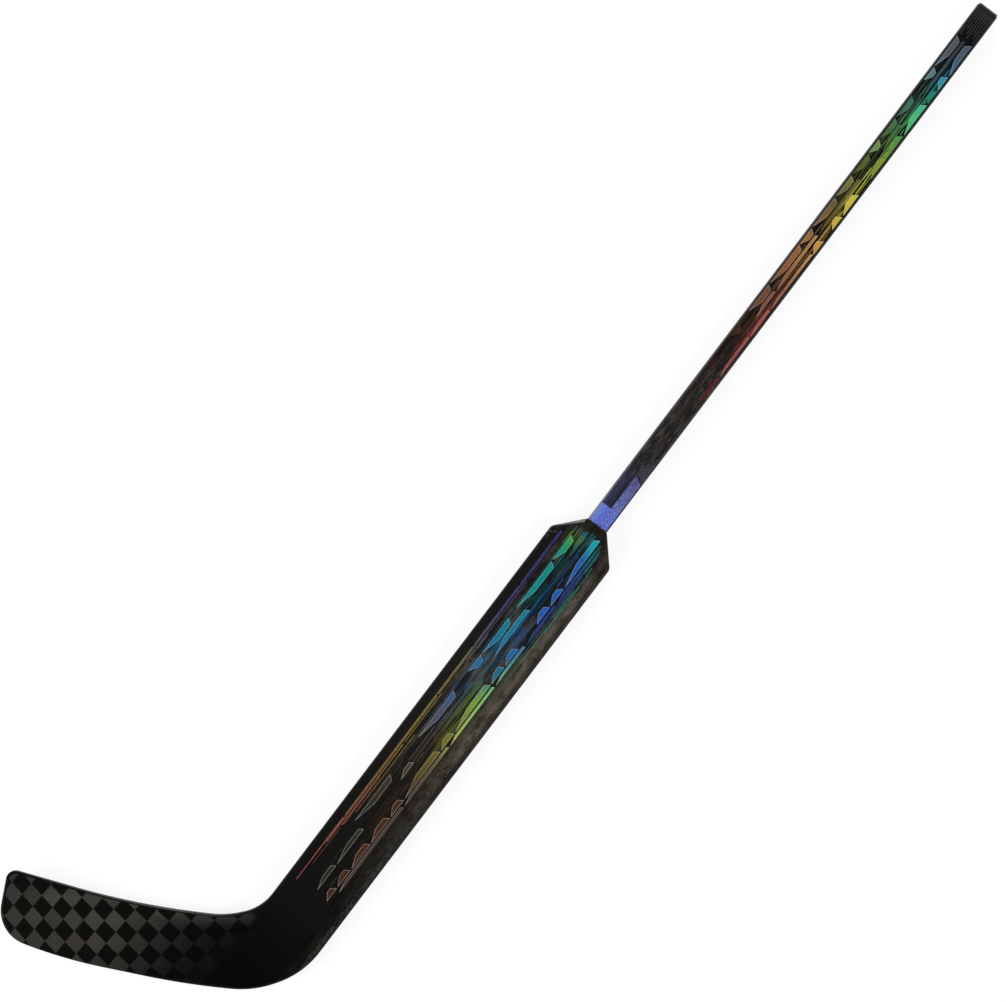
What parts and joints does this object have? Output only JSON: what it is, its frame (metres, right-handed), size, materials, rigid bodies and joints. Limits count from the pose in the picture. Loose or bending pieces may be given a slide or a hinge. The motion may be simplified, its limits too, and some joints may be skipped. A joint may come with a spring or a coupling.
{
  "type": "ice hockey goalkeeper's stick",
  "caption": "Ice hockey goalkeeper's stick: a hollow shaft bonded into a wide flat paddle that turns into an angled, curved blade, with a push-in end plug.",
  "frame": {"origin": "on the paddle's flat back face, on the shaft's centre line, at the shoulder line where the paddle reaches its full width", "axes": "+X up the shaft to the butt end, +Y to the side that the blade reaches out to, +Z out of the front face; the stick lies on the paddle's back"},
  "size_m": [1.6098, 0.3579, 0.0398],
  "materials": {
    "shaft_carbon": "satin black laminate with fine grain",
    "plug_rubber": "matt black moulded elastomer",
    "adhesive": "black epoxy fillet",
    "shaft_film": "black film printed with iridescent bars in a spectrum along the shaft",
    "inner_carbon": "bare black laminate",
    "core_foam": "closed-cell structural foam",
    "paddle_carbon": "satin black laminate with fine grain",
    "forged_carbon": "marbled chopped-fibre laminate, grey-brown on black",
    "paddle_film": "black film printed with iridescent bars in a spectrum along the paddle",
    "heel_foam": "dense structural foam",
    "blade_weave": "spread-tow checker weave under a satin coat",
    "blade_edge": "satin black edge wrap"
  },
  "bodies": {
    "stick": {"shaft_tube": "shaft_carbon", "neck_bead": "adhesive", "shaft_front_film": "shaft_film", "shaft_back_film": "shaft_film", "paddle_spine": "inner_carbon", "paddle_core_centre": "core_foam", "paddle_core_leading": "core_foam", "paddle_core_trailing": "core_foam", "paddle_front_skin": "paddle_carbon", "paddle_back_skin": "paddle_carbon", "paddle_leading_rail": "paddle_carbon", "paddle_trailing_rail": "forged_carbon", "paddle_front_film": "paddle_film", "paddle_back_film": "paddle_film", "heel_block": "heel_foam", "blade_core_upper": "core_foam", "blade_core_lower": "core_foam", "blade_bridge": "inner_carbon", "blade_front_skin": "blade_weave", "blade_back_skin": "blade_weave", "blade_top_wrap": "blade_edge", "blade_sole_wrap": "blade_edge"},
    "end_plug": {"end_plug": "plug_rubber"}
  },
  "joints": [
    {"name": "end_plug_pull", "type": "slide", "parent": "stick", "child": "end_plug", "axis": [1, 0, 0], "range_m": [0, 0.06]}
  ]
}
